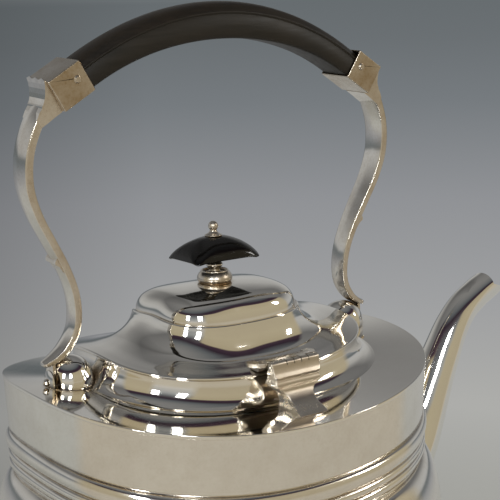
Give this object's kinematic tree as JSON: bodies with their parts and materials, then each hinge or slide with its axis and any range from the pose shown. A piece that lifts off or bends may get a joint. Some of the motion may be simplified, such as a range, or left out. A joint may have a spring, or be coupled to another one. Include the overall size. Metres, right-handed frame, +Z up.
{
  "type": "spirit kettle on stand",
  "caption": "Oval silver spirit kettle with a saddle shoulder, stepped cushion lid and ebony swing handle, tilting on a four-legged stand over a spirit burner",
  "frame": {"origin": "on the table plane under the kettle's vertical axis", "axes": "+X towards the spout, -Y towards the lid's hinge, +Z up"},
  "size_m": [0.2976, 0.1776, 0.3965],
  "materials": {
    "silver": "polished sterling silver, warm tarnish in the corners",
    "ebony": "black ebony, high polish",
    "ebony_grip": "very dark ebony, worn satin",
    "cotton": "woven cotton wick"
  },
  "bodies": {
    "stand": {"stand_ring": "silver", "leg_front_left": "silver", "leg_front_right": "silver", "leg_rear_left": "silver", "leg_rear_right": "silver", "foot_front_left": "silver", "foot_front_right": "silver", "foot_rear_left": "silver", "foot_rear_right": "silver", "burner_cradle": "silver", "front_bracket_left": "silver", "front_bracket_right": "silver", "rear_bracket_left": "silver", "rear_bracket_right": "silver", "front_pin_left": "silver", "front_pin_right": "silver", "rear_pin_left": "silver", "rear_pin_right": "silver"},
    "kettle": {"kettle_shell": "silver", "shoulder_plate": "silver", "lid_collar": "silver", "girdle_moulding": "silver", "foot_ring": "silver", "spout": "silver", "handle_boss_left": "silver", "handle_boss_right": "silver", "handle_pin_left": "silver", "handle_pin_right": "silver", "hinge_lower_leaf": "silver", "lid_hinge_pin": "silver", "front_lug_left": "silver", "front_lug_right": "silver", "rear_lug_left": "silver", "rear_lug_right": "silver"},
    "lid": {"lid_dome": "silver", "lid_bezel": "silver", "hinge_upper_leaf": "silver", "finial_stem": "silver", "lid_knob": "ebony", "finial_washer": "silver", "finial_nut": "silver", "finial_screw": "silver"},
    "handle": {"handle_arm_left": "silver", "handle_arm_right": "silver", "grip_socket_left": "silver", "grip_socket_right": "silver", "handle_grip": "ebony_grip", "socket_rivets": "silver"},
    "burner": {"burner_bowl": "silver", "burner_cover": "silver", "wick_tube": "silver", "wick": "cotton"},
    "snuffer": {"snuffer_cap": "silver"}
  },
  "joints": [
    {"name": "kettle_tilt", "type": "hinge", "parent": "stand", "child": "kettle", "pos_m": [0.101, 0, 0.116], "axis": [0, 1, 0], "range_deg": [0, 38]},
    {"name": "lid_hinge", "type": "hinge", "parent": "kettle", "child": "lid", "pos_m": [0, -0.0574, 0.2478], "axis": [1, 0, 0], "range_deg": [0, 100]},
    {"name": "handle_swing", "type": "hinge", "parent": "kettle", "child": "handle", "pos_m": [0, 0, 0.2419], "axis": [-1, 0, 0], "range_deg": [-68, 76]},
    {"name": "burner_lift", "type": "slide", "parent": "stand", "child": "burner", "axis": [0, 0, 1], "range_m": [0, 0.025]},
    {"name": "snuffer_lift", "type": "slide", "parent": "burner", "child": "snuffer", "axis": [0, 0, 1], "range_m": [0, 0.012]}
  ]
}
